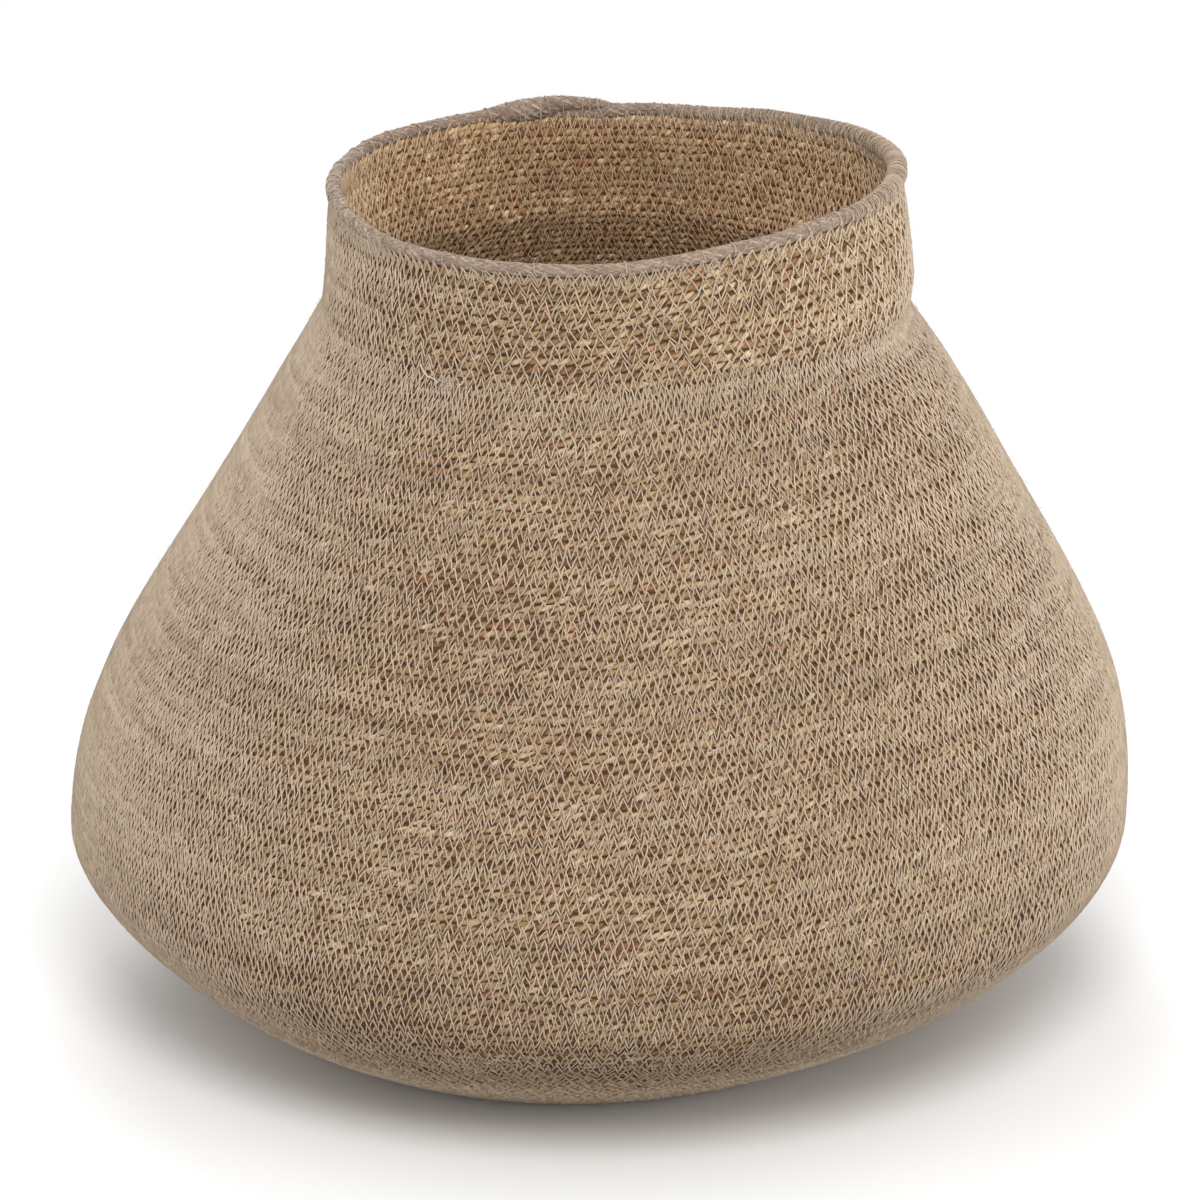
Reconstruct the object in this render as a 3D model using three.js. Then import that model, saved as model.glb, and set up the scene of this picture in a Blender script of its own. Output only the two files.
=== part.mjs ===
// Coiled jute and seagrass vase: a wide flat foot, a low belly, a long sloping
// shoulder, an upright neck collar and a thick cord round the mouth.
// Millimetres, +Z up. The origin is the centre of the flat foot; the front is -Y.
// Azimuths run from the front towards +X.

import * as THREE from 'three';

// Side profile, outer face
const FOOT_RADIUS = 109;
const FOOT_RISE_ANGLE = 22.5;
const FOOT_RISE_REACH = 23.5;
const BELLY_RADIUS = 186;
const BELLY_HEIGHT = 61.5;
const BELLY_REACH_DOWN = 22;
const BELLY_REACH_UP = 58;
const NECK_RADIUS = 101.3;
const NECK_HEIGHT = 256;
const SHOULDER_SLOPE_ANGLE = 28;
const SHOULDER_REACH = 128;
const COLLAR_HEIGHT = 35.8;
const COLLAR_TAPER = 4.1;
const MOUTH_RADIUS = NECK_RADIUS - COLLAR_TAPER;
const WALL_TOP_HEIGHT = NECK_HEIGHT + COLLAR_HEIGHT;

// Wall: one row of wound cord with its sewing thread on both faces
const WALL_THICKNESS = 4;
const BASE_THICKNESS = 4;
const SEAM_GAP = 0.3;
const LOWER_SEAM_HEIGHT = 28;
const TURN_SEAM_HEIGHT = 70;
const BELLY_SEAM_HEIGHT = 136;

// Rim cord and the lap where its end lies over its start
const RIM_CORD_RADIUS = 3.3;
const LAP_CORD_RADIUS = 2;
const LAP_TIP_RADIUS = 0.7;
const LAP_TIP_ANGLE = 10;
const LAP_GAP = 0.5;
const LAP_START_AZIMUTH = 198;
const LAP_ANGLE = 29;
const LAP_CLIMB_ANGLE = 15;

// Hand-wound irregularity: level sections are slightly oval with three soft corners
// and stand a little to the left (-) or right (+) of the foot
const FOOT_OVAL = 2.6;
const FOOT_OVAL_AZIMUTH = -40;
const FOOT_CORNER = 2.8;
const FOOT_CORNER_AZIMUTH = -25;
const BELLY_OVAL = 1.3;
const BELLY_OVAL_AZIMUTH = -40;
const BELLY_CORNER = 3.7;
const BELLY_CORNER_AZIMUTH = 5;
const BELLY_SHIFT = 0.3;
const NECK_OVAL = 1.3;
const NECK_OVAL_AZIMUTH = -50;
const NECK_CORNER = 2.4;
const NECK_CORNER_AZIMUTH = -30;
const NECK_SHIFT = 2.6;
const MOUTH_OVAL = 3;
const MOUTH_OVAL_AZIMUTH = -75;
const MOUTH_CORNER = 5.2;
const MOUTH_CORNER_AZIMUTH = -15;
const MOUTH_SHIFT = 2;

// The mouth's right side stands higher than its left
const MOUTH_RISE = 2.7;

// Faceting
const AROUND = 60;
const CURVE_STEPS = 160;
const LOWER_WALL_STEPS = 5;
const BELLY_TURN_STEPS = 7;
const BELLY_WALL_STEPS = 5;
const SHOULDER_WALL_STEPS = 7;
const COLLAR_STEPS = 3;
const RIM_STEP_ANGLE = 5;
const RIM_SIDES = 10;

const { degToRad, lerp, smoothstep } = THREE.MathUtils;

// Outer profile as points (radius, height), from the foot to the neck crease
function bodyCurvePoints() {
  const rise = degToRad(FOOT_RISE_ANGLE);
  const slope = degToRad(SHOULDER_SLOPE_ANGLE);
  const foot = new THREE.Vector2(FOOT_RADIUS, 0);
  const belly = new THREE.Vector2(BELLY_RADIUS, BELLY_HEIGHT);
  const neck = new THREE.Vector2(NECK_RADIUS, NECK_HEIGHT);
  const lower = new THREE.CubicBezierCurve(
    foot,
    new THREE.Vector2(
      FOOT_RADIUS + FOOT_RISE_REACH * Math.cos(rise),
      FOOT_RISE_REACH * Math.sin(rise),
    ),
    new THREE.Vector2(BELLY_RADIUS, BELLY_HEIGHT - BELLY_REACH_DOWN),
    belly,
  );
  const upper = new THREE.CubicBezierCurve(
    belly,
    new THREE.Vector2(BELLY_RADIUS, BELLY_HEIGHT + BELLY_REACH_UP),
    new THREE.Vector2(
      NECK_RADIUS + SHOULDER_REACH * Math.sin(slope),
      NECK_HEIGHT - SHOULDER_REACH * Math.cos(slope),
    ),
    neck,
  );
  return [...lower.getPoints(CURVE_STEPS), ...upper.getPoints(CURVE_STEPS).slice(1)];
}

// The same profile moved inwards by the wall thickness
function offsetInwards(points, distance) {
  return points.map((point, index) => {
    const before = points[Math.max(index - 1, 0)];
    const after = points[Math.min(index + 1, points.length - 1)];
    const along = after.clone().sub(before).normalize();
    return new THREE.Vector2(point.x - along.y * distance, point.y + along.x * distance);
  });
}

// Radius of a profile at a height; past either end the end's own slope goes on
function radiusAt(points, height) {
  let index = points.findIndex((point) => point.y >= height);
  if (index < 0) index = points.length - 1;
  if (index === 0) index = 1;
  const low = points[index - 1];
  const high = points[index];
  return lerp(low.x, high.x, (height - low.y) / (high.y - low.y));
}

// Points of a profile between two heights, spaced evenly along its length
function profileBetween(points, lowHeight, highHeight, steps) {
  const kept = points.filter((point) => point.y > lowHeight && point.y < highHeight);
  const ends = [lowHeight, highHeight].map(
    (height) => new THREE.Vector2(radiusAt(points, height), height),
  );
  const line = [ends[0], ...kept, ends[1]];
  const lengths = [0];
  for (let i = 1; i < line.length; i += 1) {
    lengths.push(lengths[i - 1] + line[i].distanceTo(line[i - 1]));
  }
  const total = lengths[lengths.length - 1];
  const result = [];
  for (let step = 0; step <= steps; step += 1) {
    const wanted = (total * step) / steps;
    let i = lengths.findIndex((length) => length >= wanted);
    if (i < 1) i = 1;
    const share = (wanted - lengths[i - 1]) / (lengths[i] - lengths[i - 1]);
    result.push(line[i - 1].clone().lerp(line[i], share));
  }
  return result;
}

// Level sections with their height, sideways shift, oval and soft corners
const footLevel = {
  height: 0,
  shift: 0,
  oval: FOOT_OVAL,
  ovalAzimuth: FOOT_OVAL_AZIMUTH,
  corner: FOOT_CORNER,
  cornerAzimuth: FOOT_CORNER_AZIMUTH,
};
const bellyLevel = {
  height: BELLY_HEIGHT,
  shift: BELLY_SHIFT,
  oval: BELLY_OVAL,
  ovalAzimuth: BELLY_OVAL_AZIMUTH,
  corner: BELLY_CORNER,
  cornerAzimuth: BELLY_CORNER_AZIMUTH,
};
const neckLevel = {
  height: NECK_HEIGHT,
  shift: NECK_SHIFT,
  oval: NECK_OVAL,
  ovalAzimuth: NECK_OVAL_AZIMUTH,
  corner: NECK_CORNER,
  cornerAzimuth: NECK_CORNER_AZIMUTH,
};
const mouthLevel = {
  height: WALL_TOP_HEIGHT,
  shift: MOUTH_SHIFT,
  oval: MOUTH_OVAL,
  ovalAzimuth: MOUTH_OVAL_AZIMUTH,
  corner: MOUTH_CORNER,
  cornerAzimuth: MOUTH_CORNER_AZIMUTH,
};
const levels = [footLevel, bellyLevel, neckLevel, mouthLevel];

// How far a level section stands out from a circle at an azimuth
function levelSwell({ oval, ovalAzimuth, corner, cornerAzimuth }, azimuth) {
  const ovalPart = oval * Math.cos(2 * (azimuth - degToRad(ovalAzimuth)));
  const cornerPart = corner * Math.cos(3 * (azimuth - degToRad(cornerAzimuth)));
  return ovalPart + cornerPart;
}

// Moves a point of the round vase to its place in the hand-wound one
function shapedPoint(radius, azimuth, height) {
  let upper = levels.findIndex((level) => level.height >= height);
  if (upper < 0) upper = levels.length - 1;
  if (upper === 0) upper = 1;
  const below = levels[upper - 1];
  const above = levels[upper];
  const share = smoothstep(height, below.height, above.height);
  const swell = lerp(levelSwell(below, azimuth), levelSwell(above, azimuth), share);
  const shaped = radius + swell * Math.min(1, radius / FOOT_RADIUS);
  const x = shaped * Math.sin(azimuth);
  const climb = height / WALL_TOP_HEIGHT;
  return new THREE.Vector3(
    x + lerp(below.shift, above.shift, share),
    -shaped * Math.cos(azimuth),
    height + MOUTH_RISE * (x / MOUTH_RADIUS) * climb ** 2,
  );
}

// A closed profile turned round the axis, then shaped
function turned(profile) {
  const geometry = new THREE.LatheGeometry(profile, AROUND);
  geometry.rotateX(Math.PI / 2);
  const position = geometry.getAttribute('position');
  for (let i = 0; i < position.count; i += 1) {
    const radius = Math.hypot(position.getX(i), position.getY(i));
    const azimuth = Math.atan2(position.getX(i), -position.getY(i));
    const place = shapedPoint(radius, azimuth, position.getZ(i));
    position.setXYZ(i, place.x, place.y, place.z);
  }
  geometry.computeVertexNormals();
  return geometry;
}

// A wall zone between two heights of the body profile
const outerLine = bodyCurvePoints();
const innerLine = offsetInwards(outerLine, WALL_THICKNESS);

function wallProfile(lowHeight, highHeight, steps) {
  const outer = profileBetween(outerLine, lowHeight, highHeight, steps);
  const inner = profileBetween(innerLine, lowHeight, highHeight, steps).reverse();
  return [...outer, ...inner, outer[0].clone()];
}

// The lowest wall zone starts at an upright face against the base panel's edge
function lowerWallProfile() {
  const startRadius = FOOT_RADIUS + SEAM_GAP;
  const startHeight = (line) => {
    const index = Math.max(1, line.findIndex((point) => point.x >= startRadius));
    const low = line[index - 1];
    const high = line[index];
    return lerp(low.y, high.y, (startRadius - low.x) / (high.x - low.x));
  };
  const top = LOWER_SEAM_HEIGHT;
  const outer = profileBetween(outerLine, startHeight(outerLine), top, LOWER_WALL_STEPS);
  const inner = profileBetween(innerLine, startHeight(innerLine), top, LOWER_WALL_STEPS);
  const toe = new THREE.Vector2(startRadius, 0);
  return [toe, ...outer.slice(1), ...inner.reverse(), toe.clone()];
}

function baseProfile() {
  return [
    new THREE.Vector2(0, 0),
    new THREE.Vector2(FOOT_RADIUS / 2, 0),
    new THREE.Vector2(FOOT_RADIUS, 0),
    new THREE.Vector2(FOOT_RADIUS, BASE_THICKNESS),
    new THREE.Vector2(FOOT_RADIUS / 2, BASE_THICKNESS),
    new THREE.Vector2(0, BASE_THICKNESS),
  ];
}

function collarProfile() {
  const bottom = NECK_HEIGHT;
  const outer = [];
  for (let step = 0; step <= COLLAR_STEPS; step += 1) {
    const share = step / COLLAR_STEPS;
    outer.push(new THREE.Vector2(
      lerp(NECK_RADIUS, MOUTH_RADIUS, share),
      lerp(bottom, WALL_TOP_HEIGHT, share),
    ));
  }
  const inner = outer.map((point) => new THREE.Vector2(point.x - WALL_THICKNESS, point.y));
  return [...outer, ...inner.reverse(), outer[0].clone()];
}

// Rim cord: one run round the mouth whose end climbs over its own start; the start is
// thin under the lap, and the end thins out as the start grows to full size
const fullSweep = 360 + LAP_ANGLE;
const lapTopHeight = 4 * LAP_CORD_RADIUS + LAP_GAP;

function startRadius(run) {
  const thinned = lerp(LAP_TIP_RADIUS, LAP_CORD_RADIUS, smoothstep(run, 0, LAP_TIP_ANGLE));
  const grown = smoothstep(run, LAP_ANGLE - LAP_TIP_ANGLE, LAP_ANGLE);
  return lerp(thinned, RIM_CORD_RADIUS, grown);
}

function rimCordRings() {
  const rings = [];
  const steps = Math.ceil(fullSweep / RIM_STEP_ANGLE);
  const climbStart = 360 - LAP_CLIMB_ANGLE;
  for (let step = 0; step <= steps; step += 1) {
    const run = (fullSweep * step) / steps;
    const climbed = smoothstep(run, climbStart, 360);
    const lowered = 2 * startRadius(Math.max(run - 360, 0)) + LAP_GAP;
    const bottom = lowered * climbed;
    const top = lerp(2 * RIM_CORD_RADIUS, lapTopHeight, climbed);
    const lapped = Math.max((top - bottom) / 2, LAP_TIP_RADIUS);
    const radius = run < climbStart ? startRadius(run) : lapped;
    const azimuth = degToRad(LAP_START_AZIMUTH - run);
    const seatRadius = MOUTH_RADIUS - WALL_THICKNESS / 2;
    const centre = shapedPoint(seatRadius, azimuth, WALL_TOP_HEIGHT);
    centre.z += SEAM_GAP + bottom + radius;
    rings.push({ run, radius, centre });
  }
  return rings;
}

// A tube through the rings, each square to the run and closed by a flat end
function cordGeometry(rings) {
  const points = [];
  const index = [];
  rings.forEach(({ radius, centre }, i) => {
    const before = rings[Math.max(i - 1, 0)].centre;
    const after = rings[Math.min(i + 1, rings.length - 1)].centre;
    const along = after.clone().sub(before).normalize();
    const side = new THREE.Vector3(0, 0, 1).cross(along).normalize();
    const up = along.clone().cross(side);
    for (let j = 0; j < RIM_SIDES; j += 1) {
      const turn = (2 * Math.PI * j) / RIM_SIDES;
      const point = centre.clone();
      point.addScaledVector(side, radius * Math.cos(turn));
      point.addScaledVector(up, radius * Math.sin(turn));
      points.push(point);
    }
  });
  for (let i = 0; i < rings.length - 1; i += 1) {
    for (let j = 0; j < RIM_SIDES; j += 1) {
      const a = i * RIM_SIDES + j;
      const b = i * RIM_SIDES + ((j + 1) % RIM_SIDES);
      index.push(a, b, b + RIM_SIDES, a, b + RIM_SIDES, a + RIM_SIDES);
    }
  }
  const last = (rings.length - 1) * RIM_SIDES;
  for (let j = 1; j < RIM_SIDES - 1; j += 1) {
    index.push(0, j + 1, j);
    index.push(last, last + j, last + j + 1);
  }
  const geometry = new THREE.BufferGeometry().setFromPoints(points);
  geometry.setIndex(index);
  geometry.computeVertexNormals();
  return geometry;
}

// Least clearance of the rim cord to itself where its end lies over its start
function leastLapGap(rings) {
  let least = Infinity;
  for (const start of rings) {
    for (const end of rings) {
      if (end.run - start.run > 180) {
        const gap = start.centre.distanceTo(end.centre) - start.radius - end.radius;
        least = Math.min(least, gap);
      }
    }
  }
  return least;
}

// Materials
const seagrass = () => new THREE.MeshStandardMaterial({
  color: 0xa08a70, roughness: 0.9, metalness: 0,
});
const baseCoil = () => new THREE.MeshStandardMaterial({
  color: 0x93805f, roughness: 0.92, metalness: 0,
});
const juteCord = () => new THREE.MeshStandardMaterial({
  color: 0x968273, roughness: 0.95, metalness: 0,
});

// Assembly
const rimRings = rimCordRings();
console.log(`least gap of the rim cord to itself: ${leastLapGap(rimRings).toFixed(2)} mm`);

const group = new THREE.Group();
const add = (name, geometry, material) => {
  const mesh = new THREE.Mesh(geometry, material);
  mesh.name = name;
  group.add(mesh);
};

add('base_panel', turned(baseProfile()), baseCoil());
add('lower_wall', turned(lowerWallProfile()), seagrass());
add('belly_turn', turned(wallProfile(
  LOWER_SEAM_HEIGHT + SEAM_GAP, TURN_SEAM_HEIGHT, BELLY_TURN_STEPS,
)), seagrass());
add('belly_wall', turned(wallProfile(
  TURN_SEAM_HEIGHT + SEAM_GAP, BELLY_SEAM_HEIGHT, BELLY_WALL_STEPS,
)), seagrass());
add('shoulder_wall', turned(wallProfile(
  BELLY_SEAM_HEIGHT + SEAM_GAP, NECK_HEIGHT - SEAM_GAP, SHOULDER_WALL_STEPS,
)), seagrass());
add('neck_collar', turned(collarProfile()), seagrass());
add('rim_cord', cordGeometry(rimRings), juteCord());

export default group;
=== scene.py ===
"""A coiled vase: rows of twisted grass cord sewn with a zigzag thread under a braided rim cord.

Every wall piece is laid out in wall coordinates (s, phi, n): s runs up the middle of the
wall from the centre of the foot, phi round the axis from the front towards +X, and n
outwards from the middle of the wall. place() turns them into x, y and z.
"""
import math

import bpy
import numpy as np
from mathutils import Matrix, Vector


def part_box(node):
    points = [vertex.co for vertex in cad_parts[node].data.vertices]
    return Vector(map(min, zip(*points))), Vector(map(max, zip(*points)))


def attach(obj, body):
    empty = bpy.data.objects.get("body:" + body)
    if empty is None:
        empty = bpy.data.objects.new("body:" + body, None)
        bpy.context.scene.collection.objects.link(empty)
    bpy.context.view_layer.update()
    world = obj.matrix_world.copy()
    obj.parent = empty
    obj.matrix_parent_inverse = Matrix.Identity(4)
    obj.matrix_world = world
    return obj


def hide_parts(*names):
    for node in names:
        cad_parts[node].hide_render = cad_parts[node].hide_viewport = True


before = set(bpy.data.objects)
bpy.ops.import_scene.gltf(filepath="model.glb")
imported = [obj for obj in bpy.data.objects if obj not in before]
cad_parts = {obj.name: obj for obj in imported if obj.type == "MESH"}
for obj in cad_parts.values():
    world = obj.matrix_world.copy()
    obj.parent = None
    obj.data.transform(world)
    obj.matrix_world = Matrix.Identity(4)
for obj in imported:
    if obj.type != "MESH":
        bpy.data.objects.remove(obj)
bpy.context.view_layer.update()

rng = np.random.default_rng(seed=20)
MM = 0.001
TURN = 2 * math.pi

# Side profile of the outer face
FOOT_RADIUS = 109 * MM
FOOT_RISE_ANGLE = math.radians(22.5)
FOOT_RISE_REACH = 23.5 * MM
BELLY_RADIUS = 186 * MM
BELLY_HEIGHT = 61.5 * MM
BELLY_REACH_DOWN = 22 * MM
BELLY_REACH_UP = 58 * MM
NECK_RADIUS = 101.3 * MM
NECK_HEIGHT = 256 * MM
SHOULDER_SLOPE_ANGLE = math.radians(28)
SHOULDER_REACH = 128 * MM
COLLAR_HEIGHT = 35.8 * MM
COLLAR_TAPER = 4.1 * MM
MOUTH_RADIUS = NECK_RADIUS - COLLAR_TAPER
WALL_TOP_HEIGHT = NECK_HEIGHT + COLLAR_HEIGHT
WALL_THICKNESS = 4 * MM

# The wall line: its sampling, and how far it goes on above the wall
LINE_STEP = 0.25 * MM
LINE_ABOVE_TOP = 12 * MM
NORMAL_SOFTNESS = 8  # steps over which the normals are evened out
FOOT_STEPS = 600  # steps that pass the foot's edge and end before the belly

# Level sections: height, sideways shift, oval, its azimuth, soft corners, their azimuth
LEVELS = (
    (0, 0, 2.6 * MM, -40, 2.8 * MM, -25),
    (BELLY_HEIGHT, 0.3 * MM, 1.3 * MM, -40, 3.7 * MM, 5),
    (NECK_HEIGHT, 2.6 * MM, 1.3 * MM, -50, 2.4 * MM, -30),
    (WALL_TOP_HEIGHT, 2 * MM, 3 * MM, -75, 5.2 * MM, -15),
)
MOUTH_RISE = 2.7 * MM
MOUTH_TILT = 1.2 * MM

# Sideways lean of the wall: height and shift
LEAN = np.array([
    (0, 0), (40, -1.6), (72, 0), (110, 1.7), (170, 1.1), (225, 0),
]) * MM

# The right side: height and swell, and its lower crease
RIGHT_SWELL = np.array([
    (205, 0), (225, -0.8), (243, -2.0), (252, -2.2), (258, 0.6), (264, 2.0), (272, 1.3),
    (280, 0), (286, -0.8), (294, -1.6), (300, -1.0),
]) * MM
CREASE_DROP = 4 * MM
CREASE_SPREAD = 20 * MM

# Small waves of the wall, and of its rows up and down
DENT_DEPTH = 0.35 * MM
DENT_ONSET = 40 * MM
ROW_DRIFT = 0.16 * MM

# Rows of cord
PITCH = 3.1 * MM
CORD_HALF_WIDTH = 1.56 * MM
CORD_HALF_DEPTH = 1.75 * MM
CORE_DEPTH = 1.0 * MM
GROOVE_DEPTH = 0.55 * MM
CORE_HALF_WIDTH = 0.52 * PITCH
CORE_STEP = 6 * MM
WRAP_LENGTH = 3.6 * MM
COLLAR_WRAP_LENGTH = 3.0 * MM
DEEP_WRAP_LENGTH = 5.0 * MM
FOOT_WRAP_LENGTH = 4.6 * MM
WRAP_ARC = math.radians(82)
INNER_LEAN = -0.65  # the inner wraps' lean as a share of the outer ones'
FIRST_ROW = 0.6 * PITCH
TURNS_PAST_TOP = 1.4
SPIRAL_STEP = math.radians(0.5)
BASE_LIFT = 0.2 * MM

# The painted shade that darkens the lower wall: up from the foot's edge, and down to the belly
LOW_SHADE_FROM = 30 * MM
LOW_SHADE_FULL = 70 * MM
LOW_SHADE_HEIGHT = 45 * MM
LOW_SHADE_FADE = 45 * MM

# Sewing thread
THREAD_RADIUS = 0.28 * MM
INNER_THREAD_RADIUS = 0.24 * MM
FRONT_STITCH = 1.6 * MM
SIDE_STITCH = 1.2 * MM
RIGHT_STITCH_EXTRA = 1.0 * MM
LOW_STITCH = 2.4 * MM
LOW_STITCH_FADE = 25 * MM
COLLAR_STITCH = 2.3 * MM
CREASE_STITCH = 1.15 * MM
INNER_STITCH = 1.9 * MM
INNER_REACH = PITCH
FRONT_REACH = 0.78 * PITCH
SIDE_REACH = 0.76 * PITCH
RIGHT_REACH_EXTRA = 0.12 * PITCH
COLLAR_REACH = 0.86 * PITCH
CREASE_ROWS = 4.6
KNOT_DIP = 0.74  # share of the thread's height over its row that is left at a knot
BEND_DIP = 0.96  # the same where a leg bends sideways
PROBES = 4000  # samples that set out the stitches of one piece

# Rim cord and its lap; angles are in degrees
RIM_RADIUS = 3.3 * MM
RIM_LAP_RADIUS = 2.0 * MM
RIM_TIP_RADIUS = 0.7 * MM
RIM_TIP_ANGLE = 10
RIM_SEAT = 0.9 * MM
RIM_OUTWARD = 0.4 * MM
RIM_FILL = 0.65
RIM_SKIN = 1.1 * RIM_FILL * RIM_RADIUS  # from the cord's middle to its drawn surface
LAP_SINK = 0.5 * MM
LAP_HEIGHT = 8.5 * MM
LAP_START = 198
LAP_END = 23
LAP_CLIMB = 15
TIP_TUCK = 7
KNOB_AZIMUTH = 98
KNOB_SPREAD = 22
COVER_START = 60
COVER_END = 184
COVER_STITCH = 1.5 * MM
COVER_THREAD_RADIUS = 0.26 * MM
BRAID_PITCH = 27 * MM
BRAID_STEP = 1.0 * MM
BRAID_STRANDS = 14
STRAND_SIDES = 6
BRAID_CORE_SIDES = 10
STITCH_STEP = 0.25 * MM
LAP_STITCHES = 9

# Where the inside's wraps change solid, and where its thread begins
INSIDE_SEAM_HEIGHTS = (28 * MM, 70 * MM, 136 * MM)
INSIDE_THREAD_HEIGHT = 185 * MM

# The coiled walls' solids, and into how many pieces the rows of each are split
WALL_NODES = ("lower_wall", "belly_turn", "belly_wall", "shoulder_wall")
WALL_PARTS = (1, 2, 2, 3)


# ---- Wall coordinates

def smooth(x, low, high):
    """A soft step from 0 at low to 1 at high."""
    t = np.clip((x - low) / (high - low), 0, 1)
    return t * t * (3 - 2 * t)


def run_sum(steps):
    """Length run at each point, from the steps between the points."""
    return np.concatenate([[0], np.cumsum(steps)])


def unit(vectors):
    return vectors / np.linalg.norm(vectors, axis=-1, keepdims=True)


def bezier(a, b, c, d, count):
    t = np.linspace(0, 1, count)[:, None]
    a, b, c, d = (np.array(p, float) for p in (a, b, c, d))
    return (1 - t) ** 3 * a + 3 * (1 - t) ** 2 * t * b + 3 * (1 - t) * t * t * c + t ** 3 * d


def wall_line():
    """The middle of the wall as rows of s, radius, height and outward normal."""
    rise = np.array([math.cos(FOOT_RISE_ANGLE), math.sin(FOOT_RISE_ANGLE)])
    slope = np.array([math.sin(SHOULDER_SLOPE_ANGLE), -math.cos(SHOULDER_SLOPE_ANGLE)])
    foot = np.array([FOOT_RADIUS, 0])
    belly = np.array([BELLY_RADIUS, BELLY_HEIGHT])
    neck = np.array([NECK_RADIUS, NECK_HEIGHT])
    mouth = np.array([MOUTH_RADIUS, WALL_TOP_HEIGHT])
    flat = np.linspace([0, 0], foot, 200)
    low = bezier(foot, foot + FOOT_RISE_REACH * rise, belly - [0, BELLY_REACH_DOWN], belly, 300)
    high = bezier(belly, belly + [0, BELLY_REACH_UP], neck + SHOULDER_REACH * slope, neck, 500)
    collar = np.linspace(neck, mouth, 100)
    above = np.linspace(mouth, mouth + [0, LINE_ABOVE_TOP], 30)
    outer = np.concatenate([flat, low[1:], high[1:], collar[1:], above[1:]])
    s = run_sum(np.hypot(*np.diff(outer, axis=0).T))
    even = np.arange(0, s[-1], LINE_STEP)
    line = np.stack([np.interp(even, s, outer[:, k]) for k in (0, 1)], 1)
    along = np.gradient(line, axis=0)
    along /= np.hypot(*along.T)[:, None]
    reach = 3 * NORMAL_SOFTNESS
    soft = np.exp(-0.5 * (np.arange(-reach, reach + 1) / NORMAL_SOFTNESS) ** 2)
    soft /= soft.sum()
    for k in (0, 1):
        along[:, k] = np.convolve(np.pad(along[:, k], reach, mode="edge"), soft, mode="valid")
    along /= np.hypot(*along.T)[:, None]
    normal = np.stack([along[:, 1], -along[:, 0]], 1)
    middle = line - normal * WALL_THICKNESS / 2
    middle[:, 0] = np.maximum(middle[:, 0], 0)
    middle[:, 1] = np.maximum(middle[:, 1], WALL_THICKNESS / 2 + BASE_LIFT)
    s = run_sum(np.hypot(*np.diff(middle, axis=0).T))
    return s, middle[:, 0], middle[:, 1], normal[:, 0], normal[:, 1]


LINE_S, LINE_R, LINE_Z, LINE_NR, LINE_NZ = wall_line()


def level_waves():
    """Sideways shift and the section's waves along the wall line."""
    columns = []
    for height, shift, oval, oval_at, corner, corner_at in LEVELS:
        two, three = 2 * math.radians(oval_at), 3 * math.radians(corner_at)
        waves = (oval * math.cos(two), oval * math.sin(two))
        waves += (corner * math.cos(three), corner * math.sin(three))
        columns.append((height, shift) + waves)
    table = np.array(columns)
    upper = np.clip(np.searchsorted(table[:, 0], LINE_Z), 1, len(table) - 1)
    low, high = table[upper - 1], table[upper]
    t = smooth(LINE_Z, low[:, 0], high[:, 0])[:, None]
    return (low + (high - low) * t)[:, 1:].T


LINE_WAVES = level_waves()


def s_at_height(height):
    """Wall length at which the middle of the wall reaches a height."""
    rising = LINE_Z > WALL_THICKNESS / 2 + BASE_LIFT + 1e-6
    return float(np.interp(height, LINE_Z[rising], LINE_S[rising]))


S_FOOT = float(np.interp(FOOT_RADIUS, LINE_R[:FOOT_STEPS], LINE_S[:FOOT_STEPS]))
S_LOW_SHADE = s_at_height(LOW_SHADE_HEIGHT)
S_NECK = s_at_height(NECK_HEIGHT)
S_TOP = s_at_height(WALL_TOP_HEIGHT)


def soft_field(count, around, up, seed):
    """A smooth field over (s, phi) of about unit size, a sum of count waves."""
    dice = np.random.default_rng(seed)
    turns = dice.integers(1, around + 1, count)
    rises = dice.uniform(-up, up, count)
    phases = dice.uniform(0, TURN, count)

    def field(s, phi):
        total = 0
        for turn, rise, phase in zip(turns, rises, phases):
            total = total + np.sin(turn * phi + rise * s + phase)
        return total * math.sqrt(2 / count)

    return field


dents = soft_field(count=9, around=7, up=60, seed=3)
row_drift = soft_field(count=12, around=16, up=120, seed=4)
band = soft_field(count=14, around=9, up=900, seed=7)
patch = soft_field(count=18, around=14, up=200, seed=8)
density = soft_field(count=16, around=12, up=500, seed=11)


def rightness(phi):
    """1 at the right and 0 from the front and back to the left."""
    return np.maximum(0, np.sin(phi))


def place(s, phi, n):
    """Wall coordinates to x, y and z."""
    s = s + ROW_DRIFT * row_drift(s, phi)
    n = n + DENT_DEPTH * dents(s, phi) * np.clip((s - S_FOOT) / DENT_ONSET, 0, 1)
    r = np.interp(s, LINE_S, LINE_R) + n * np.interp(s, LINE_S, LINE_NR)
    z = np.interp(s, LINE_S, LINE_Z) + n * np.interp(s, LINE_S, LINE_NZ)
    shift, two_cos, two_sin, three_cos, three_sin = (
        np.interp(s, LINE_S, wave) for wave in LINE_WAVES
    )
    swell = two_cos * np.cos(2 * phi) + two_sin * np.sin(2 * phi)
    swell += three_cos * np.cos(3 * phi) + three_sin * np.sin(3 * phi)
    r = r + swell * np.minimum(1, r / FOOT_RADIUS)
    right = rightness(phi) ** 2
    r = r + right * np.interp(z, *RIGHT_SWELL.T)
    x = r * np.sin(phi)
    y = -r * np.cos(phi)
    climb = np.clip(z / WALL_TOP_HEIGHT, 0, 1.1)
    rise = (MOUTH_RISE * x * climb ** 2 - MOUTH_TILT * y * climb ** 4) / MOUTH_RADIUS
    rise = rise - CREASE_DROP * right * np.exp(-(((z - NECK_HEIGHT) / CREASE_SPREAD) ** 2))
    return np.stack([x + shift + np.interp(z, *LEAN.T), y, z + rise], -1)


# ---- Where on the vase, for stitches and colours

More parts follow.
